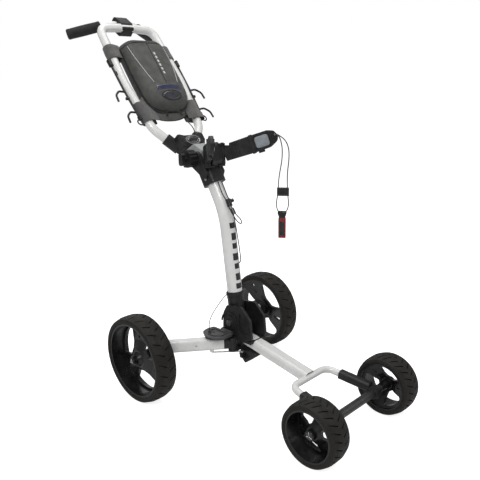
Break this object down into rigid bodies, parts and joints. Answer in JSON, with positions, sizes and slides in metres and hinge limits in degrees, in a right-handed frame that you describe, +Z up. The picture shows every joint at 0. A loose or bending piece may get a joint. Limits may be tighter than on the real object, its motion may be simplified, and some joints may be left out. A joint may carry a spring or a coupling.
{
  "type": "golf push cart",
  "caption": "Folding white-tube push cart for a golf bag, with spoked foam-tyred wheels, a tilting loop handle, a lidded console and a sprung bag cradle.",
  "frame": {"origin": "on the ground under the middle of the cart's box", "axes": "+X to the cart's far (right-hand) side along the axles, -Y in the direction of travel, +Z up"},
  "size_m": [0.658, 1.2108, 1.2097],
  "materials": {
    "bar_clamp": "satin moulded",
    "bow_sleeves": "satin moulded",
    "bungee_adjuster": "satin moulded",
    "bungee_cord": "braided",
    "clamp_bolt": "zinc plated",
    "console_lid": "moulded fabric-faced foam",
    "console_tether": "braided",
    "console_tray": "moulded fabric-faced foam",
    "console_wraps": "woven",
    "cord_lock": "satin moulded",
    "cradle_arm_far": "satin moulded",
    "cradle_arm_near": "satin moulded",
    "cradle_base": "satin moulded",
    "cradle_pad_far": "satin soft rubber",
    "cradle_pad_near": "satin soft rubber",
    "fold_hub": "satin moulded",
    "frame_screws": "zinc plated",
    "front_axle": "satin powder coat",
    "front_beam": "gloss powder coat",
    "front_bow": "gloss powder coat",
    "front_rim_far": "satin moulded",
    "front_rim_near": "satin moulded",
    "front_tyre_far": "matt foam tread",
    "front_tyre_near": "matt foam tread",
    "grips": "foam",
    "handle_loop": "gloss powder coat",
    "handlebar": "gloss powder coat",
    "hook_rails": "satin moulded",
    "knob_lever": "satin moulded",
    "leg_end_far": "satin moulded",
    "leg_end_near": "satin moulded",
    "leg_root_far": "satin moulded",
    "leg_root_near": "satin moulded",
    "leg_tube_far": "gloss powder coat",
    "leg_tube_near": "gloss powder coat",
    "lid_trim": "gloss",
    "link_rod_far": "satin",
    "link_rod_near": "satin",
    "mast_foot": "satin moulded",
    "mast_tube": "gloss powder coat",
    "pivot_pins": "zinc plated",
    "pull_tab": "satin",
    "rear_axle_far": "zinc plated",
    "rear_axle_near": "zinc plated",
    "rear_button_far": "satin moulded",
    "rear_button_near": "satin moulded",
    "rear_rim_far": "satin moulded",
    "rear_rim_near": "satin moulded",
    "rear_tyre_far": "matt foam tread",
    "rear_tyre_near": "matt foam tread",
    "release_cable": "sheathed",
    "release_cord": "braided",
    "release_line": "braided",
    "release_plate": "satin moulded",
    "saddle": "satin moulded",
    "saddle_badge": "polished",
    "slider_bracket": "satin moulded",
    "tilt_knob": "satin moulded",
    "tilt_tongue": "satin moulded",
    "upper_sleeve": "satin moulded"
  },
  "bodies": {
    "frame": {"fold_hub": "fold_hub", "pivot_pins": "pivot_pins", "front_beam": "front_beam", "front_bow": "front_bow", "bow_sleeves": "bow_sleeves", "front_axle": "front_axle", "release_cable": "release_cable"},
    "release_pedal": {"release_plate": "release_plate"},
    "mast": {"mast_foot": "mast_foot", "mast_tube": "mast_tube", "upper_sleeve": "upper_sleeve", "frame_screws": "frame_screws", "cradle_base": "cradle_base", "release_cord": "release_cord", "release_line": "release_line", "cord_lock": "cord_lock"},
    "cradle_near": {"cradle_arm_near": "cradle_arm_near", "cradle_pad_near": "cradle_pad_near"},
    "cradle_far": {"cradle_arm_far": "cradle_arm_far", "cradle_pad_far": "cradle_pad_far", "bungee_cord": "bungee_cord", "bungee_adjuster": "bungee_adjuster", "pull_tab": "pull_tab"},
    "handle": {"tilt_tongue": "tilt_tongue", "handle_loop": "handle_loop", "saddle": "saddle", "saddle_badge": "saddle_badge", "bar_clamp": "bar_clamp", "clamp_bolt": "clamp_bolt", "console_tray": "console_tray", "console_wraps": "console_wraps", "hook_rails": "hook_rails", "console_tether": "console_tether"},
    "lid": {"console_lid": "console_lid", "lid_trim": "lid_trim"},
    "steering_bar": {"handlebar": "handlebar", "grips": "grips"},
    "knob": {"tilt_knob": "tilt_knob", "knob_lever": "knob_lever"},
    "slider": {"slider_bracket": "slider_bracket"},
    "leg_near": {"leg_tube_near": "leg_tube_near", "leg_root_near": "leg_root_near", "leg_end_near": "leg_end_near", "rear_axle_near": "rear_axle_near"},
    "rod_near": {"link_rod_near": "link_rod_near"},
    "rear_wheel_near": {"rear_tyre_near": "rear_tyre_near", "rear_rim_near": "rear_rim_near"},
    "rear_release_near": {"rear_button_near": "rear_button_near"},
    "front_wheel_near": {"front_tyre_near": "front_tyre_near", "front_rim_near": "front_rim_near"},
    "leg_far": {"leg_tube_far": "leg_tube_far", "leg_root_far": "leg_root_far", "leg_end_far": "leg_end_far", "rear_axle_far": "rear_axle_far"},
    "rod_far": {"link_rod_far": "link_rod_far"},
    "rear_wheel_far": {"rear_tyre_far": "rear_tyre_far", "rear_rim_far": "rear_rim_far"},
    "rear_release_far": {"rear_button_far": "rear_button_far"},
    "front_wheel_far": {"front_tyre_far": "front_tyre_far", "front_rim_far": "front_rim_far"}
  },
  "joints": [
    {"name": "mast_fold", "type": "hinge", "parent": "frame", "child": "mast", "pos_m": [0, -0.02842, 0.232], "axis": [1, 0, 0], "range_deg": [0, 85], "deforming": ["release_cable"]},
    {"name": "handle_tilt", "type": "hinge", "parent": "mast", "child": "handle", "pos_m": [0, 0.12658, 0.763], "axis": [1, 0, 0], "range_deg": [-85, 10]},
    {"name": "knob_turn", "type": "hinge", "parent": "mast", "child": "knob", "pos_m": [-0.05, 0.12658, 0.763], "axis": [-1, 0, 0], "range_deg": [0, 300]},
    {"name": "lid_open", "type": "hinge", "parent": "handle", "child": "lid", "pos_m": [0, 0.39356, 1.1192], "axis": [1, 0, 0], "range_deg": [-100, 0]},
    {"name": "bar_tilt", "type": "hinge", "parent": "handle", "child": "steering_bar", "pos_m": [0, 0.52904, 1.18507], "axis": [1, 0, 0], "range_deg": [-20, 20]},
    {"name": "release_lift", "type": "hinge", "parent": "frame", "child": "release_pedal", "pos_m": [-0.046, -0.02642, 0.203], "axis": [0, 1, 0], "range_deg": [0, 14]},
    {"name": "cradle_swing_far", "type": "hinge", "parent": "mast", "child": "cradle_far", "pos_m": [0.032, 0.06158, 0.776], "axis": [0, 0, 1], "range_deg": [-20, 25]},
    {"name": "cradle_swing_near", "type": "hinge", "parent": "mast", "child": "cradle_near", "pos_m": [-0.032, 0.06158, 0.776], "axis": [0, 0, 1], "range_deg": [-25, 20]},
    {"name": "slider_travel", "type": "slide", "parent": "frame", "child": "slider", "axis": [0, -1, 0], "range_m": [0, 0.00276]},
    {"name": "leg_fold_near", "type": "hinge", "parent": "frame", "child": "leg_near", "pos_m": [-0.044, -0.04842, 0.17], "axis": [0, 0, -1], "range_deg": [0, 26.84]},
    {"name": "rod_swing_near", "type": "hinge", "parent": "leg_near", "child": "rod_near", "pos_m": [-0.09888, -0.00497, 0.138], "axis": [0, 0, 1], "range_deg": [0, 7.23]},
    {"name": "rear_spin_near", "type": "hinge", "parent": "leg_near", "child": "rear_wheel_near", "pos_m": [-0.292, 0.12358, 0.145], "axis": [1, 0, 0], "continuous": true},
    {"name": "rear_release_press_near", "type": "slide", "parent": "rear_wheel_near", "child": "rear_release_near", "axis": [1, 0, 0], "range_m": [0, 0.003], "stiffness_N_per_m": 300},
    {"name": "front_spin_near", "type": "hinge", "parent": "frame", "child": "front_wheel_near", "pos_m": [-0.182, -0.50942, 0.096], "axis": [1, 0, 0], "continuous": true},
    {"name": "leg_fold_far", "type": "hinge", "parent": "frame", "child": "leg_far", "pos_m": [0.044, -0.04842, 0.17], "axis": [0, 0, 1], "range_deg": [0, 26.84]},
    {"name": "rod_swing_far", "type": "hinge", "parent": "leg_far", "child": "rod_far", "pos_m": [0.09888, -0.00497, 0.138], "axis": [0, 0, -1], "range_deg": [0, 7.23]},
    {"name": "rear_spin_far", "type": "hinge", "parent": "leg_far", "child": "rear_wheel_far", "pos_m": [0.292, 0.12358, 0.145], "axis": [1, 0, 0], "continuous": true},
    {"name": "rear_release_press_far", "type": "slide", "parent": "rear_wheel_far", "child": "rear_release_far", "axis": [-1, 0, 0], "range_m": [0, 0.003], "stiffness_N_per_m": 300},
    {"name": "front_spin_far", "type": "hinge", "parent": "frame", "child": "front_wheel_far", "pos_m": [0.182, -0.50942, 0.096], "axis": [1, 0, 0], "continuous": true}
  ],
  "couplings": [
    {"joint": "slider_travel", "follows": "mast_fold", "m_per_rad": 0.0018543},
    {"joint": "leg_fold_near", "follows": "mast_fold", "ratio": 0.31579},
    {"joint": "rod_swing_near", "follows": "mast_fold", "ratio": 0.085099},
    {"joint": "leg_fold_far", "follows": "mast_fold", "ratio": 0.31579},
    {"joint": "rod_swing_far", "follows": "mast_fold", "ratio": 0.085099}
  ]
}
